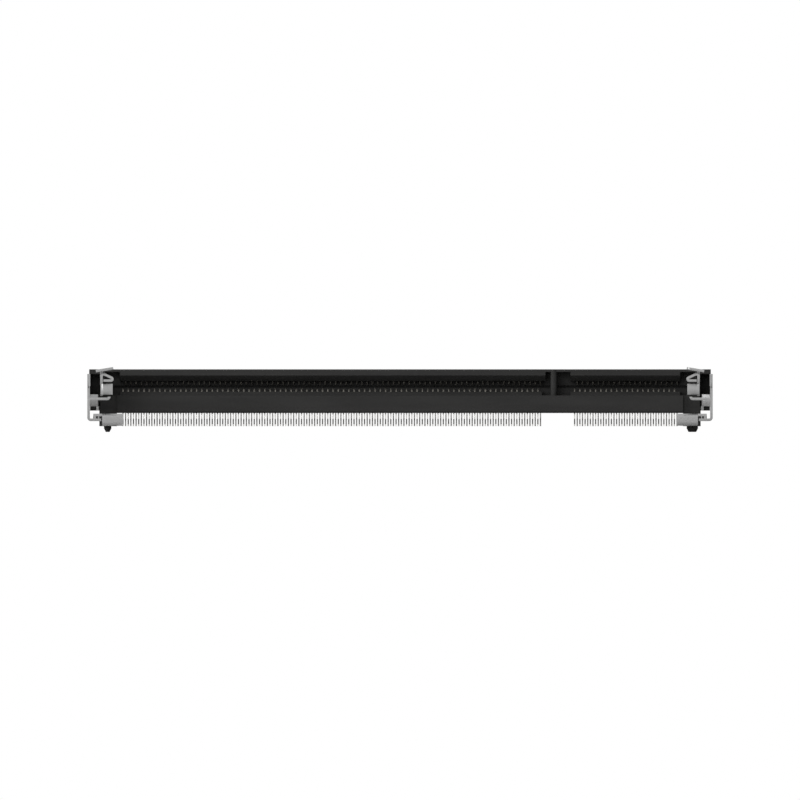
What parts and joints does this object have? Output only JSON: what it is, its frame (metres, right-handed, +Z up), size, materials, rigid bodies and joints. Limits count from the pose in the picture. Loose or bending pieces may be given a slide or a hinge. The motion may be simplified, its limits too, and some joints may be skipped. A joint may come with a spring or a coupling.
{
  "type": "card edge connector",
  "caption": "Right-angle board socket for a memory card: a slotted black bar with two rows of spring contacts, a key rib, and a latch spring and guard bracket at each end.",
  "frame": {"origin": "middle of the contact field in X, on the line of the two locating pegs in Y, at the top of the board in Z", "axes": "+X along the slot towards the large peg, -Y towards the side the card comes in from, +Z up from the board"},
  "size_m": [0.0714, 0.024, 0.0075],
  "materials": {
    "black_plastic": "fine moulded matte",
    "spring_steel": "rolled satin",
    "plated_contact": "plated"
  },
  "bodies": {
    "socket": {"housing": "black_plastic", "left_bracket": "spring_steel", "right_bracket": "spring_steel", "lower_contacts_1": "plated_contact", "lower_contacts_2": "plated_contact", "lower_contacts_3": "plated_contact", "lower_contacts_4": "plated_contact", "lower_contacts_5": "plated_contact", "lower_contacts_6": "plated_contact", "lower_contacts_7": "plated_contact", "lower_contacts_8": "plated_contact", "lower_contacts_9": "plated_contact", "lower_contacts_10": "plated_contact", "upper_contacts_1": "plated_contact", "upper_contacts_2": "plated_contact", "upper_contacts_3": "plated_contact", "upper_contacts_4": "plated_contact", "upper_contacts_5": "plated_contact", "upper_contacts_6": "plated_contact", "upper_contacts_7": "plated_contact", "upper_contacts_8": "plated_contact", "upper_contacts_9": "plated_contact", "upper_contacts_10": "plated_contact"},
    "left_spring": {"left_latch": "spring_steel"},
    "right_spring": {"right_latch": "spring_steel"}
  },
  "joints": [
    {"name": "left_latch_spring", "type": "hinge", "parent": "socket", "child": "left_spring", "pos_m": [-0.0341, 0.0015, 0.0056], "axis": [0, 0, -1], "range_deg": [0, 3.6], "stiffness_Nm_per_rad": 0.14},
    {"name": "right_latch_spring", "type": "hinge", "parent": "socket", "child": "right_spring", "pos_m": [0.0341, 0.0015, 0.0056], "axis": [0, 0, 1], "range_deg": [0, 3.6], "stiffness_Nm_per_rad": 0.14}
  ]
}
